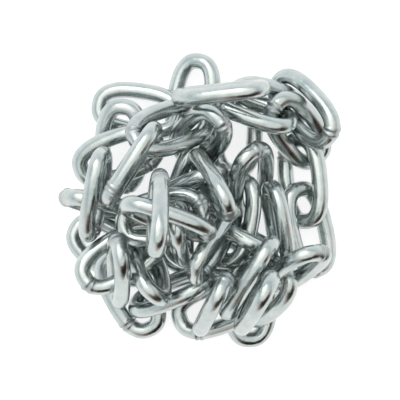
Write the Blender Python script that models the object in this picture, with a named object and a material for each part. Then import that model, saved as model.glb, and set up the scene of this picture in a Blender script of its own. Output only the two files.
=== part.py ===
"""Loose heap of short-link steel chain, lying on a flat floor.

Metres, +Z up. Every closed link is its own piece. The plan below gives the place
of each link as seen from above. spread_links() then lifts and turns the links in small
steps until each has a clear gap to its neighbours.
"""
import math

import bpy
import numpy as np
from mathutils import Matrix, Vector

# Link sizes; the wire's middle line is an oval, squarer than an ellipse (exponent 2)
WIRE = 0.004
INNER_LENGTH = 0.016
OUTER_WIDTH = 0.0136
HALF_LENGTH = (INNER_LENGTH + WIRE) / 2
HALF_WIDTH = (OUTER_WIDTH - WIRE) / 2
OVAL_EXPONENT = 2.6
GAP = 0.00024

# Mesh fineness
WIRE_POINTS = 24
OVAL_STEPS = 4000
BEVEL_RESOLUTION = 2

# The plan is squared paper seen from above, x to the right and y down
SQUARE = 0.000241
PLAN_MIDDLE = (200, 200)

# Spreading: hold is the pull back to the plan in x, y and height, tilt the pull back to the slope
SAMPLES = 64
FIRST_THICKNESS = 0.35
ORDER_STEPS = 40
GROW_STEPS = 200
LOOSE_STEPS = 160
ORDER_HOLD = np.array([0.05, 0.05, 0.002])
ORDER_TILT = 0.02
HOLD = np.array([0.15, 0.15, 0.001])
TILT = 0.05
HIDDEN_SHARE = 0.04
DOWNWARD = 0.03

COMPASS = {
    "N": (0, 1), "S": (0, -1), "E": (1, 0), "W": (-1, 0),
    "NE": (1, 1), "NW": (-1, 1), "SE": (1, -1), "SW": (-1, -1),
}

# Name, the two end bends as (x, y, height in wire widths), roll in degrees, raised side
PLAN = [
    ("link_01", (119.5, 106, 1.0), (160.5, 115.5, 1.4), 0, "N"),
    ("link_02", (124.5, 123.5, 2.0), (122, 166, 0.8), 0, "N"),
    ("link_03", (100, 162.5, 2.0), (140, 146.5, 2.2), 10, "N"),
    ("link_04", (157.5, 133, 3.9), (188, 121, 2.3), 0, "N"),
    ("link_05", (211.5, 128.5, 4.6), (195, 144, 2.2), 0, "N"),
    ("link_06", (114.5, 179.5, 3.4), (143.5, 148, 3.9), 84, "NW"),
    ("link_07", (108.5, 176.5, 3.1), (107, 218.5, 2.7), 50, "W"),
    ("link_08", (87, 202.5, 2.2), (119, 215.5, 1.0), 70, "N"),
    ("link_09", (96.5, 236, 0.9), (134.5, 257, 0.6), 0, "N"),
    ("link_10", (100, 271.5, 1.6), (138, 250.5, 1.6), 0, "N"),
    ("link_11", (134, 228, 2.7), (168, 210, 2.7), 15, "N"),
    ("link_12", (160, 196, 5.2), (160, 228, 5.6), 80, "E"),
    ("link_13", (153, 209, 3.9), (190, 229, 3.4), 74, "N"),
    ("link_14", (123, 250, 4.4), (117.5, 274, 3.0), 78, "E"),
    ("link_15", (136, 269.5, 1.0), (139.5, 312.5, 0.7), 0, "W"),
    ("link_16", (144.5, 247, 1.2), (153, 278, 2.4), 84, "W"),
    ("link_17", (160, 294, 2.4), (202, 286, 2.6), 30, "S"),
    ("link_18", (199, 303, 1.2), (229, 273, 1.6), 0, "W"),
    ("link_19", (220.5, 293, 4.6), (212, 310, 2.4), 84, "W"),
    ("link_20", (253, 322.5, 0.6), (247, 283.5, 0.6), 0, "W"),
    ("link_21", (252.5, 306.5, 1.8), (261.5, 289.5, 3.6), 84, "E"),
    ("link_22", (236, 289, 3.6), (263, 259, 4.2), 78, "SE"),
    ("link_23", (285, 268.5, 2.4), (306, 259.5, 3.0), 70, "N"),
    ("link_24", (277, 282.5, 2.6), (253, 297.5, 1.0), 20, "S"),
    ("link_25", (302, 207.5, 2.4), (304, 249.5, 1.8), 0, "E"),
    ("link_26", (278, 206.5, 3.2), (281, 247.5, 3.0), 74, "E"),
    ("link_27", (305.5, 158, 1.0), (305.5, 200.5, 1.4), 0, "W"),
    ("link_28", (283.5, 119, 1.6), (309.5, 142.5, 0.6), 0, "S"),
    ("link_29", (297, 100, 3.0), (320, 127, 3.0), 66, "NE"),
    ("link_30", (231, 112, 2.9), (273.5, 111.5, 2.9), 74, "S"),
    ("link_31", (242.5, 85.5, 2.6), (278.5, 99.5, 2.0), 32, "N"),
    ("link_32", (202, 96, 4.2), (243, 91.5, 4.2), 87, "S"),
    ("link_33", (229.5, 106.5, 0.6), (229.5, 149.5, 0.6), 0, "E"),
    ("link_34", (203.5, 81, 1.2), (204, 124, 0.8), 0, "N"),
    ("link_35", (193, 162, 2.0), (193, 204, 1.4), 60, "W"),
    ("link_36", (182, 196, 1.6), (206, 175, 3.6), 82, "N"),
    ("link_37", (204.5, 169, 4.0), (220.5, 194, 4.6), 78, "NE"),
    ("link_38", (230, 195.5, 2.6), (232, 237.5, 2.6), 0, "E"),
    ("link_39", (230, 224.5, 4.2), (205, 259.5, 4.0), 70, "W"),
    ("link_40", (213, 223, 3.2), (240.5, 249, 3.2), 82, "N"),
    ("link_41", (185.5, 246.5, 1.6), (222.5, 248, 0.8), 0, "W"),
    ("link_42", (182.5, 230.5, 3.2), (193.5, 249.5, 1.8), 70, "W"),
    ("link_43", (256, 160.5, 2.2), (252, 204.5, 1.2), 52, "W"),
]

# Upper link, lower link and the plan place where they cross
CROSSINGS = [
    ("link_02", "link_01", 103, 122),
    ("link_04", "link_03", 134, 132),
    ("link_06", "link_03", 120, 173),
    ("link_06", "link_07", 128, 160),
    ("link_07", "link_08", 96, 200),
    ("link_11", "link_07", 112, 235),
    ("link_11", "link_07", 135, 205),
    ("link_13", "link_07", 135, 200),
    ("link_11", "link_16", 142, 250),
    ("link_11", "link_09", 108, 240),
    ("link_11", "link_10", 107, 243),
    ("link_11", "link_10", 150, 247),
    ("link_12", "link_10", 158, 245),
    ("link_39", "link_41", 200, 262),
    ("link_42", "link_41", 187, 225),
    ("link_39", "link_42", 200, 255),
    ("link_38", "link_41", 225, 250),
    ("link_40", "link_41", 235, 240),
    ("link_31", "link_28", 268, 112),
    ("link_13", "link_42", 195, 234),
    ("link_23", "link_25", 306, 266),
    ("link_39", "link_38", 220, 250),
    ("link_28", "link_27", 290, 150),
    ("link_27", "link_28", 322, 155),
    ("link_29", "link_27", 322, 140),
    ("link_29", "link_28", 325, 130),
    ("link_15", "link_17", 166, 286),
    ("link_17", "link_41", 213, 266),
    ("link_22", "link_40", 266, 253),
    ("link_24", "link_40", 274, 263),
    ("link_21", "link_18", 254, 286),
    ("link_19", "link_18", 201, 327),
    ("link_27", "link_25", 324, 208),
    ("link_12", "link_11", 153, 246),
    ("link_12", "link_36", 170, 207),
    ("link_12", "link_13", 162, 208),
    ("link_13", "link_11", 137, 201),
    ("link_13", "link_11", 165, 215),
    ("link_04", "link_05", 184, 150),
    ("link_05", "link_04", 212, 116),
    ("link_19", "link_22", 228, 300),
    ("link_22", "link_40", 255, 262),
    ("link_05", "link_30", 232, 118),
    ("link_13", "link_41", 196, 240),
    ("link_11", "link_41", 168, 232),
]


def clear_scene():
    """Start from an empty scene."""
    for item in list(bpy.data.objects):
        bpy.data.objects.remove(item, do_unlink=True)


def link_points(count):
    """Evenly spaced points along the wire of a flat link whose long side is on x, in metres."""
    angles = np.linspace(0, 2 * math.pi, OVAL_STEPS + 1)
    places = []
    for reach, share in ((HALF_LENGTH, np.cos(angles)), (HALF_WIDTH, np.sin(angles))):
        places.append(reach * np.sign(share) * np.abs(share) ** (2 / OVAL_EXPONENT))
    steps = np.hypot(np.diff(places[0]), np.diff(places[1]))
    ways = np.concatenate([[0], np.cumsum(steps)])
    wanted = (np.arange(count) + 0.5) * ways[-1] / count
    x = np.interp(wanted, ways, places[0])
    y = np.interp(wanted, ways, places[1])
    return np.stack([x, y, np.zeros(count)], axis=1)


def plan_pose(first, second, roll, raised):
    """Turning matrix and middle of a link, in plan squares, from its plan entry."""
    wire = WIRE / SQUARE
    ends = []
    for x, y, height in (first, second):
        ends.append(np.array([x - PLAN_MIDDLE[0], PLAN_MIDDLE[1] - y, height * wire]))
    along = ends[1] - ends[0]
    length = 2 * (HALF_LENGTH - HALF_WIDTH) / SQUARE
    flat = math.hypot(along[0], along[1])
    if flat < length:
        rise = math.sqrt(length ** 2 - flat ** 2)
        along[2] = rise if along[2] >= 0 else -rise
    along = along / np.linalg.norm(along)
    side = np.array([-along[1], along[0], 0.0])
    side = side / np.linalg.norm(side)
    up = np.cross(along, side)
    wanted = side[:2] @ np.array(COMPASS[raised], float)
    angle = math.radians(roll) * (1 if wanted >= 0 else -1)
    across = math.cos(angle) * side + math.sin(angle) * up
    turned = np.array([along, across, np.cross(along, across)]).T
    return turned, (ends[0] + ends[1]) / 2


def small_turn(vector):
    """Turning matrix for a small rotation vector."""
    angle = np.linalg.norm(vector)
    if angle < 1e-12:
        return np.eye(3)
    x, y, z = vector / angle
    k = np.array([[0, -z, y], [z, 0, -x], [-y, x, 0]])
    return np.eye(3) + math.sin(angle) * k + (1 - math.cos(angle)) * k @ k


def near_pairs(points, reach):
    """Index pairs of points on different links that lie within reach."""
    count, samples = points.shape[:2]
    middles = points.mean(axis=1)
    size = 2 * HALF_LENGTH / SQUARE
    first = []
    second = []
    for i in range(count):
        for j in range(i + 1, count):
            if np.linalg.norm(middles[i] - middles[j]) > size + reach:
                continue
            apart = ((points[i][:, None] - points[j][None]) ** 2).sum(axis=-1)
            a, b = np.nonzero(apart < reach ** 2)
            first.append(a + i * samples)
            second.append(b + j * samples)
    return np.concatenate(first), np.concatenate(second)


def wrench_rows(arms, directions):
    """How far a point goes along a direction for each shift and turn of its link."""
    return np.concatenate([directions, np.cross(arms, directions)], axis=1)


def seen_share(points):
    """1 for points that lie open to view from above, HIDDEN_SHARE for covered ones."""
    samples = points.shape[1]
    reach = 0.4 * WIRE / SQUARE
    every = points.reshape(-1, 3)
    owner = np.arange(len(every)) // samples
    share = np.ones(len(every))
    for k in range(len(every)):
        flat = np.hypot(every[:, 0] - every[k, 0], every[:, 1] - every[k, 1])
        above = (owner != owner[k]) & (every[:, 2] > every[k, 2] + 0.1)
        if (above & (flat < reach)).any():
            share[k] = HIDDEN_SHARE
    return share.reshape(points.shape[:2])


def move_links(turns, middles, points, home, pairs, low, lift, hold, tilt, downward):
    """Move all links together so that short gaps open and the rest stay in place."""
    count, samples = points.shape[:2]
    first, second, away, short = pairs
    every = points.reshape(-1, 3)
    left = np.zeros((count, count, 6, 6))
    right = np.zeros((count, 6))
    one = first // samples
    two = second // samples
    rows_one = wrench_rows(every[first] - middles[one], away)
    rows_two = -wrench_rows(every[second] - middles[two], away)
    for i, rows_i in ((one, rows_one), (two, rows_two)):
        np.add.at(right, i, rows_i * short[:, None])
        for j, rows_j in ((one, rows_one), (two, rows_two)):
            np.add.at(left, (i, j), rows_i[:, :, None] * rows_j[:, None])
    owner = low // samples
    up = np.tile([0.0, 0.0, 1.0], (len(low), 1))
    rows = wrench_rows(every[low] - middles[owner], up)
    np.add.at(left, (owner, owner), rows[:, :, None] * rows[:, None])
    np.add.at(right, owner, rows * lift[:, None])
    arms = points - middles[:, None]
    for axis in range(3):
        unit = np.zeros(points.shape)
        unit[..., axis] = 1.0
        rows = wrench_rows(arms.reshape(-1, 3), unit.reshape(-1, 3)).reshape(count, samples, 6)
        back = (home - points)[..., axis]
        held = hold[..., axis]
        right += np.einsum("lni,ln,ln->li", rows, back, held)
        left[range(count), range(count)] += np.einsum("lni,ln,lnj->lij", rows, held, rows)
    rows = rows - rows.mean(axis=1, keepdims=True)
    back = back - back.mean(axis=1, keepdims=True)
    right += tilt * np.einsum("lni,ln->li", rows, back)
    left[range(count), range(count)] += tilt * np.einsum("lni,lnj->lij", rows, rows)
    right[:, 2] -= downward * samples
    left[range(count), range(count)] += np.diag([0.5, 0.5, 0.5, 50.0, 50.0, 50.0])
    system = left.transpose(0, 2, 1, 3).reshape(6 * count, 6 * count)
    step = np.linalg.solve(system, right.reshape(-1)).reshape(count, 6)
    shift = step[:, :3]
    turn = step[:, 3:]
    shift = shift * np.minimum(1, 3 / np.maximum(np.linalg.norm(shift, axis=1), 1e-9))[:, None]
    turn = turn * np.minimum(1, 0.1 / np.maximum(np.linalg.norm(turn, axis=1), 1e-9))[:, None]
    turns = np.array([small_turn(turn[k]) @ turns[k] for k in range(count)])
    return turns, middles + shift


def crossing_order(points, names, first, second):
    """Which point of each pair is the upper one, with the crossings on the plan."""
    samples = points.shape[1]
    every = points.reshape(-1, 3)
    order = np.where(every[first, 2] >= every[second, 2], 1.0, -1.0)
    middle = (every[first, :2] + every[second, :2]) / 2
    for upper, lower, x, y in CROSSINGS:
        place = np.array([x - PLAN_MIDDLE[0], PLAN_MIDDLE[1] - y])
        near = np.linalg.norm(middle - place, axis=1) < 15
        top = names.index(upper)
        low = names.index(lower)
        order[near & (first // samples == top) & (second // samples == low)] = 1.0
        order[near & (first // samples == low) & (second // samples == top)] = -1.0
    return order


def order_pairs(every, first, second, order, reach):
    """Crossings where the upper link is not yet clear of the lower one."""
    apart = every[first] - every[second]
    flat = np.hypot(apart[:, 0], apart[:, 1])
    short = np.sqrt(np.maximum(reach ** 2 - flat ** 2, 0)) - order * apart[:, 2]
    touch = (flat < reach) & (short > 0)
    away = np.zeros((touch.sum(), 3))
    away[:, 2] = order[touch]
    return first[touch], second[touch], away, np.minimum(short[touch], 4)


def close_pairs(every, first, second, reach):
    """Points of neighbouring links that are closer than the wire allows."""
    apart = every[first] - every[second]
    distance = np.linalg.norm(apart, axis=1)
    touch = distance < reach
    away = apart[touch] / np.maximum(distance[touch], 1e-6)[:, None]
    return first[touch], second[touch], away, np.minimum(reach - distance[touch], 4)


def spread_links(names, turns, middles):
    """Move the links apart while their wire grows to full thickness."""
    samples = link_points(SAMPLES) / SQUARE
    full = (WIRE + GAP) / SQUARE
    floor = WIRE / SQUARE / 2
    home = np.einsum("lij,nj->lni", turns, samples) + middles[:, None]
    share = np.ones(home.shape[:2])
    for step in range(ORDER_STEPS + GROW_STEPS + LOOSE_STEPS):
        points = np.einsum("lij,nj->lni", turns, samples) + middles[:, None]
        every = points.reshape(-1, 3)
        if step < ORDER_STEPS:
            reach = FIRST_THICKNESS * full
            if step % 8 == 0:
                first, second = near_pairs(points * np.array([1, 1, 0]), reach + 6)
                order = crossing_order(points, names, first, second)
            pairs = order_pairs(every, first, second, order, reach)
            hold = ORDER_HOLD
            tilt = ORDER_TILT
            downward = 0.0
        else:
            if step == ORDER_STEPS:
                share = seen_share(points)
            grown = min(1.0, (step - ORDER_STEPS) / GROW_STEPS)
            reach = (FIRST_THICKNESS + (1 - FIRST_THICKNESS) * grown) * full
            if (step - ORDER_STEPS) % 6 == 0:
                first, second = near_pairs(points, reach + 7)
            pairs = close_pairs(every, first, second, reach)
            loose = max(0, step - ORDER_STEPS - GROW_STEPS) / LOOSE_STEPS
            fade = (1 - loose) ** 2
            hold = HOLD * fade
            tilt = TILT * fade
            downward = DOWNWARD * max(fade, 0.05)
        low = np.nonzero(every[:, 2] < floor)[0]
        lift = floor - every[low, 2]
        held = share[..., None] * hold
        turns, middles = move_links(
            turns, middles, points, home, pairs, low, lift, held, tilt, downward)
    return turns, middles


def zinc_material(name, number):
    """Bright zinc plating on steel, a little lighter or darker from link to link."""
    material = bpy.data.materials.new(name)
    material.use_nodes = True
    shader = material.node_tree.nodes["Principled BSDF"]
    tone = 0.60 + 0.04 * math.sin(2.4 * number)
    shader.inputs["Base Color"].default_value = (tone, tone * 1.02, tone * 1.03, 1)
    shader.inputs["Metallic"].default_value = 1.0
    shader.inputs["Roughness"].default_value = 0.3
    material.diffuse_color = (tone, tone, tone, 1)
    return material


def link_curve(name):
    """The round wire of one link, lying flat with its long side on x."""
    curve = bpy.data.curves.new(name, "CURVE")
    curve.dimensions = "3D"
    curve.bevel_depth = WIRE / 2
    curve.bevel_resolution = BEVEL_RESOLUTION
    curve.resolution_u = 1
    curve.render_resolution_u = 0
    spline = curve.splines.new("POLY")
    spline.points.add(WIRE_POINTS - 1)
    for point, place in zip(spline.points, link_points(WIRE_POINTS)):
        point.co = (place[0], place[1], 0, 1)
    spline.use_cyclic_u = True
    spline.use_smooth = True
    return curve


def make_link(name, number, turn, middle, collection):
    """One link in its place."""
    link = bpy.data.objects.new(name, link_curve(name))
    collection.objects.link(link)
    place = Matrix([[float(v) for v in row] for row in turn]).to_4x4()
    link.rotation_euler = place.to_euler()
    link.location = Vector([float(v) * SQUARE for v in middle])
    link.data.materials.append(zinc_material(name + "_zinc", number))
    return link


def set_on_floor(links):
    """Put the heap's lowest point on the floor and its plan box around the origin."""
    bpy.context.view_layer.update()
    graph = bpy.context.evaluated_depsgraph_get()
    corners = []
    for link in links:
        shape = link.evaluated_get(graph)
        mesh = shape.to_mesh()
        corners.extend(shape.matrix_world @ vertex.co for vertex in mesh.vertices)
        shape.to_mesh_clear()
    low = [min(corner[axis] for corner in corners) for axis in range(3)]
    high = [max(corner[axis] for corner in corners) for axis in range(3)]
    shift = Vector(((low[0] + high[0]) / 2, (low[1] + high[1]) / 2, low[2]))
    for link in links:
        link.location -= shift


def build_heap():
    """The whole heap of chain."""
    clear_scene()
    collection = bpy.data.collections.new("chain_heap")
    bpy.context.scene.collection.children.link(collection)
    names = [entry[0] for entry in PLAN]
    poses = [plan_pose(*entry[1:]) for entry in PLAN]
    turns = np.array([pose[0] for pose in poses])
    middles = np.array([pose[1] for pose in poses])
    turns, middles = spread_links(names, turns, middles)
    links = []
    for number, name in enumerate(names):
        links.append(make_link(name, number, turns[number], middles[number], collection))
    set_on_floor(links)


build_heap()
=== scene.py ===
import math

import bpy
import numpy as np
from mathutils import Matrix, Vector, noise


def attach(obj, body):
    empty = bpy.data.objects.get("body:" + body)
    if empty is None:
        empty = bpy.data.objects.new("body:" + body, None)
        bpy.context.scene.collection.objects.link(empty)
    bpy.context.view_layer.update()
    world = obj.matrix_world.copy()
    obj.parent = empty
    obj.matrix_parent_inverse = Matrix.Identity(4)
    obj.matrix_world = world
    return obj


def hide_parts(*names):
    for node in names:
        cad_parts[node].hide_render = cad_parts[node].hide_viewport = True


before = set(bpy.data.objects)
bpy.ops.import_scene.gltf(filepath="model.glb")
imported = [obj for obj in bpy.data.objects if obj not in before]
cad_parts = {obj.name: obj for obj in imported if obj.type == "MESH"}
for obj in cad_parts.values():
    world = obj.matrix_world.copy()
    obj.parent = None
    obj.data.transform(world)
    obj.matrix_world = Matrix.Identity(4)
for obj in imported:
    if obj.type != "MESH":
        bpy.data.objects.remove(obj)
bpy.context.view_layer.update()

# Link sizes in metres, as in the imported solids: the wire's middle line is a squarish oval
WIRE = 0.004
INNER_LENGTH = 0.016
OUTER_WIDTH = 0.0136
HALF_LENGTH = (INNER_LENGTH + WIRE) / 2
HALF_WIDTH = (OUTER_WIDTH - WIRE) / 2
OVAL_EXPONENT = 2.6
OVAL_STEPS = 4000

# Fineness of the wire
STEPS = 96
WELD_STEPS = 44
SIDES = 26
WELD_REACH = 0.0022
TANGENT_STEP = 0.0004

# Weld in metres: two rims of flash beside a notch on a wider swelling, each as height and reach
RIM_PLACE = 0.00055
RIM = (0.00022, 0.00038)
NOTCH = (0.00012, 0.00022)
SWELLING = (0.00006, 0.0013)
WELD_GRAIN = 0.00005
WELD_MARK_REACH = 0.0011

# Real wire's unevenness: a wave in metres, and how much a bend thins it sideways and swells it upward
WAVE = 0.00003
WAVES_PER_METRE = 160
BEND_THINNING = 0.02
BEND_SWELLING = 0.012

# Zinc plating: tint from dull to bright, tint at the weld, gloss and bumps
ZINC_DULL = (0.43, 0.49, 0.49, 1)
ZINC_BRIGHT = (0.585, 0.615, 0.60, 1)
ZINC_WELD = (0.40, 0.43, 0.435, 1)
ROUGHNESS_FROM = 0.15
ROUGHNESS_TO = 0.27
WELD_ROUGHNESS = 0.16
GRAIN_BUMP = (0.2, 0.0001)
CLOUD_BUMP = (0.4, 0.0002)

# Floor: white table, slightly below the heap so that the weld beads stay clear of it
FLOOR_HALF = 3.0
FLOOR_DROP = 0.0003
FLOOR_WHITE = 0.42
FLOOR_GLOW = 0.76

# Camera: the photograph looks straight down on a field 96.4 mm wide
FIELD = 0.0964
CAMERA_HEIGHT = 0.75
LOOK_HEIGHT = 0.014

# The room as the wires mirror it: colour near the floor, then round patches over it, each with
# its direction, inner and outer angle in degrees and colour
ROOM_LOW = (1.06, 1.10, 1.14, 1)
ROOM_PATCHES = [
    ((0, 0, 1), 62, 70, (0.74, 0.82, 0.83, 1)),
    ((0.42, -0.72, 0.50), 40, 60, (0.62, 0.50, 0.44, 1)),
    ((0.42, -0.72, 0.50), 24, 44, (0.035, 0.022, 0.016, 1)),
    ((0, 0, 1), 40, 50, (1.14, 1.15, 1.12, 1)),
    ((-0.25, 0.32, 0.90), 14, 38, (1.80, 1.76, 1.68, 1)),
]


def link_frame(node):
    """Middle and axes (length, width, normal) of a packed link, from its own mesh."""
    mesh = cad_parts[node].data
    points = np.array([vertex.co[:] for vertex in mesh.vertices])
    points = np.unique(np.round(points, 6), axis=0)
    middle = points.mean(axis=0)
    length, width, _ = np.linalg.svd(points - middle, full_matrices=False)[2]
    normal = np.cross(length, width)
    return middle, length, width, normal


def oval_line():
    """The link's flat middle line: distances from the +X tip, x and y, once round."""
    angle = np.linspace(0, 2 * math.pi, OVAL_STEPS + 1)
    power = 2 / OVAL_EXPONENT
    x = HALF_LENGTH * np.sign(np.cos(angle)) * np.abs(np.cos(angle)) ** power
    y = HALF_WIDTH * np.sign(np.sin(angle)) * np.abs(np.sin(angle)) ** power
    pieces = np.hypot(np.diff(x), np.diff(y))
    return np.concatenate([[0], np.cumsum(pieces)]), x, y


oval_ways, oval_x, oval_y = oval_line()
ROUND = float(oval_ways[-1])


def line_place(way):
    """Place on the flat middle line at a distance along it."""
    x = float(np.interp(way % ROUND, oval_ways, oval_x))
    y = float(np.interp(way % ROUND, oval_ways, oval_y))
    return Vector((x, y))


def path_point(way):
    """Place, outward direction and sharpness of the bend (0 to 1) at a distance along the line."""
    before = line_place(way - TANGENT_STEP)
    place = line_place(way)
    after = line_place(way + TANGENT_STEP)
    along = (after - before).normalized()
    turn = (place - before).angle(after - place)
    return place, Vector((along.y, -along.x)), min(1, turn / TANGENT_STEP * HALF_WIDTH)


def ring_ways(weld_way):
    """Distances of the wire's rings, closer together around the weld."""
    ways = []
    for k in range(WELD_STEPS):
        ways.append(weld_way - WELD_REACH + 2 * WELD_REACH * k / WELD_STEPS)
    rest = ROUND - 2 * WELD_REACH
    for k in range(STEPS):
        ways.append(weld_way + WELD_REACH + rest * k / STEPS)
    return ways


def weld_swell(distance, angle, seed):
    """Extra radius at the butt weld: two rough rims of flash with a notch between."""
    spot = Vector((math.cos(angle) * 1.3, math.sin(angle) * 1.3, seed))
    rough = 0.75 + 0.9 * noise.noise(spot + Vector((distance * 1500, 0, 0)))
    rim = math.exp(-((abs(distance) - RIM_PLACE) / RIM[1]) ** 2)
    notch = math.exp(-(distance / NOTCH[1]) ** 2)
    wide = math.exp(-(distance / SWELLING[1]) ** 2)
    grain = noise.noise(spot * 3.0 + Vector((distance * 4000, 0, 0)))
    return RIM[0] * rim * rough - NOTCH[0] * notch + SWELLING[0] * wide + WELD_GRAIN * wide * grain


def link_mesh(name, seed, weld_way):
    """Round wire bent to a closed link, with the weld and slight unevenness of real wire."""
    ways = ring_ways(weld_way)
    points = []
    marks = []
    for way in ways:
        (x, y), (ox, oy), bend = path_point(way)
        distance = (way - weld_way + ROUND / 2) % ROUND - ROUND / 2
        mark = math.exp(-(distance / WELD_MARK_REACH) ** 2)
        for k in range(SIDES):
            angle = 2 * math.pi * k / SIDES
            out = math.cos(angle)
            up = math.sin(angle)
            radius = WIRE / 2
            radius *= 1 - BEND_THINNING * bend * abs(out) + BEND_SWELLING * bend * abs(up)
            wave = noise.noise(Vector((x * WAVES_PER_METRE, y * WAVES_PER_METRE, seed + up * 0.6)))
            radius += WAVE * wave
            if mark > 0.01:
                radius += weld_swell(distance, angle, seed)
            points.append((x + ox * out * radius, y + oy * out * radius, up * radius))
            marks.append(mark)
    faces = []
    rings = len(ways)
    for i in range(rings):
        for k in range(SIDES):
            a = i * SIDES + k
            b = i * SIDES + (k + 1) % SIDES
            c = ((i + 1) % rings) * SIDES + (k + 1) % SIDES
            d = ((i + 1) % rings) * SIDES + k
            faces.append((a, b, c, d))
    mesh = bpy.data.meshes.new(name)
    mesh.from_pydata(points, [], faces)
    mesh.update()
    weld = mesh.attributes.new("weld", "FLOAT", "POINT")
    weld.data.foreach_set("value", marks)
    mesh.shade_smooth()
    return mesh


def node_maker(tree):
    """Short helper that adds a node and wires its inputs."""
    def make(kind, **inputs):
        item = tree.nodes.new(kind)
        for key, value in inputs.items():
            key = key.replace("_", " ")
            if hasattr(value, "is_output") or hasattr(value, "links"):
                tree.links.new(value, item.inputs[key])
            else:
                item.inputs[key].default_value = value
        return item
    make.link = tree.links.new
    return make


def zinc_material(name, seed):
    """Bright zinc plating: bluish grey, cloudy in tint and gloss, finely grained, rough at the weld."""
    material = bpy.data.materials.new(name)
    material.use_nodes = True
    tree = material.node_tree
    make = node_maker(tree)
    shader = tree.nodes["Principled BSDF"]
    place = make("ShaderNodeTexCoord")
    move = make("ShaderNodeMapping", Vector=place.outputs["Object"])
    move.inputs["Location"].default_value = (seed * 0.13, seed * 0.29, seed * 0.07)
    cloud = make("ShaderNodeTexNoise", Vector=move.outputs[0], Scale=260.0, Detail=4.0, Roughness=0.6)
    grain = make("ShaderNodeTexNoise", Vector=move.outputs[0], Scale=2600.0, Detail=3.0, Roughness=0.6)
    weld = make("ShaderNodeAttribute")
    weld.attribute_name = "weld"
    tint = make("ShaderNodeValToRGB", Fac=cloud.outputs["Fac"])
    ramp = tint.color_ramp
    ramp.elements[0].position = 0.30
    ramp.elements[0].color = ZINC_DULL
    ramp.elements[1].position = 0.70
    ramp.elements[1].color = ZINC_BRIGHT
    burnt = make("ShaderNodeMix")
    burnt.data_type = "RGBA"
    tree.links.new(weld.outputs["Fac"], burnt.inputs["Factor"])
    tree.links.new(tint.outputs["Color"], burnt.inputs["A"])
    burnt.inputs["B"].default_value = ZINC_WELD
    tree.links.new(burnt.outputs["Result"], shader.inputs["Base Color"])
    shader.inputs["Metallic"].default_value = 1.0
    gloss = make("ShaderNodeMapRange", Value=cloud.outputs["Fac"])
    gloss.inputs["From Min"].default_value = 0.3
    gloss.inputs["From Max"].default_value = 0.7
    gloss.inputs["To Min"].default_value = ROUGHNESS_FROM
    gloss.inputs["To Max"].default_value = ROUGHNESS_TO
    more = make("ShaderNodeMath")
    more.operation = "MULTIPLY_ADD"
    tree.links.new(weld.outputs["Fac"], more.inputs[0])
    more.inputs[1].default_value = WELD_ROUGHNESS
    tree.links.new(gloss.outputs["Result"], more.inputs[2])
    tree.links.new(more.outputs[0], shader.inputs["Roughness"])
    bump = make("ShaderNodeBump", Height=grain.outputs["Fac"])
    bump.inputs["Strength"].default_value = GRAIN_BUMP[0]
    bump.inputs["Distance"].default_value = GRAIN_BUMP[1]
    soft = make("ShaderNodeBump", Height=cloud.outputs["Fac"], Normal=bump.outputs["Normal"])
    soft.inputs["Strength"].default_value = CLOUD_BUMP[0]
    soft.inputs["Distance"].default_value = CLOUD_BUMP[1]
    tree.links.new(soft.outputs["Normal"], shader.inputs["Normal"])
    return material


def build_link(node, number):
    """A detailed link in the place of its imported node."""
    middle, length, width, normal = link_frame(node)
    seed = number * 7.31
    weld_way = ROUND * (number % 2 / 2 + 0.09 * math.sin(number * 2.1) - 0.04)
    name = node + "_wire"
    axes = Matrix([[float(length[i]), float(width[i]), float(normal[i])] for i in range(3)])
    mesh = link_mesh(name, seed, weld_way)
    mesh.transform(Matrix.Translation(Vector([float(v) for v in middle])) @ axes.to_4x4())
    link = bpy.data.objects.new(name, mesh)
    bpy.context.scene.collection.objects.link(link)
    link.data.materials.append(zinc_material(name + "_zinc", seed))
    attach(link, "root")
    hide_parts(node)
    return link


def build_floor():
    """Plain white table under the heap."""
    half = FLOOR_HALF
    mesh = bpy.data.meshes.new("floor")
    corners = [(-half, -half, 0), (half, -half, 0), (half, half, 0), (-half, half, 0)]
    mesh.from_pydata(corners, [], [(0, 1, 2, 3)])
    floor = bpy.data.objects.new("floor", mesh)
    bpy.context.scene.collection.objects.link(floor)
    floor.location.z = -FLOOR_DROP
    material = bpy.data.materials.new("white_table")
    material.use_nodes = True
    shader = material.node_tree.nodes["Principled BSDF"]
    shader.inputs["Base Color"].default_value = (FLOOR_WHITE, FLOOR_WHITE, FLOOR_WHITE, 1)
    shader.inputs["Roughness"].default_value = 0.9
    shader.inputs["Specular IOR Level"].default_value = 0.0
    shader.inputs["Emission Color"].default_value = (1, 1, 1, 1)
    shader.inputs["Emission Strength"].default_value = FLOOR_GLOW
    mesh.materials.append(material)


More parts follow.
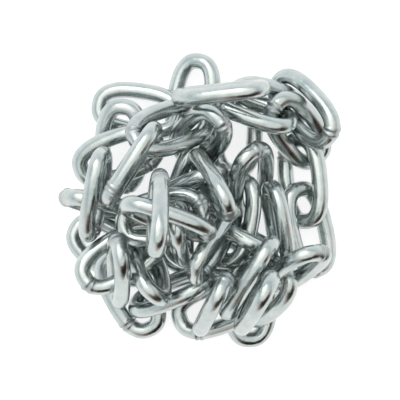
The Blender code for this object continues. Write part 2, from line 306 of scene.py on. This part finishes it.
def spot_mask(make, direction, toward, inner, outer):
    """1 inside a soft round patch of the room around a direction, 0 outside it (angles in degrees)."""
    dot = make("ShaderNodeVectorMath")
    dot.operation = "DOT_PRODUCT"
    make.link(direction, dot.inputs[0])
    dot.inputs[1].default_value = Vector(toward).normalized()
    fade = make("ShaderNodeMapRange", Value=dot.outputs["Value"])
    fade.interpolation_type = "SMOOTHSTEP"
    fade.inputs["From Min"].default_value = math.cos(math.radians(outer))
    fade.inputs["From Max"].default_value = math.cos(math.radians(inner))
    return fade.outputs["Result"]


def blend_colour(make, mask, first, second):
    """first where the mask is 0, second where it is 1; each is a colour or another node's output."""
    mix = make("ShaderNodeMix")
    mix.data_type = "RGBA"
    make.link(mask, mix.inputs["Factor"])
    for key, value in (("A", first), ("B", second)):
        if hasattr(value, "links"):
            make.link(value, mix.inputs[key])
        else:
            mix.inputs[key].default_value = value
    return mix.outputs["Result"]


def build_world():
    """Pale room: bright ceiling, brightest in the north-west, and a dark brown patch in the south-east."""
    world = bpy.data.worlds.new("pale_room")
    bpy.context.scene.world = world
    world.use_nodes = True
    tree = world.node_tree
    make = node_maker(tree)
    direction = make("ShaderNodeTexCoord").outputs["Generated"]
    result = ROOM_LOW
    for toward, inner, outer, tint in ROOM_PATCHES:
        result = blend_colour(make, spot_mask(make, direction, toward, inner, outer), result, tint)
    tree.links.new(result, tree.nodes["Background"].inputs["Color"])


def add_softbox(name, place, size, power, tint):
    """A square soft light that faces the heap."""
    lamp = bpy.data.lights.new(name, "AREA")
    lamp.size = size
    lamp.energy = power
    lamp.color = tint
    light = bpy.data.objects.new(name, lamp)
    bpy.context.scene.collection.objects.link(light)
    light.location = place
    light.rotation_euler = (Vector(place) * -1).to_track_quat("-Z", "Y").to_euler()


def build_camera():
    """Long lens straight above the heap."""
    data = bpy.data.cameras.new("camera")
    data.sensor_width = 36
    data.lens = 36 * (CAMERA_HEIGHT - LOOK_HEIGHT) / FIELD
    data.clip_start = 0.01
    data.clip_end = 20
    camera = bpy.data.objects.new("camera", data)
    bpy.context.scene.collection.objects.link(camera)
    camera.location = (0, 0, CAMERA_HEIGHT)
    bpy.context.scene.camera = camera


build_camera()
for number, node in enumerate(sorted(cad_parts)):
    build_link(node, number)
build_floor()
build_world()
add_softbox("window", (-0.5, 0.9, 1.2), 0.8, 3, (0.97, 0.99, 1.0))
bpy.context.scene.view_settings.view_transform = "Standard"
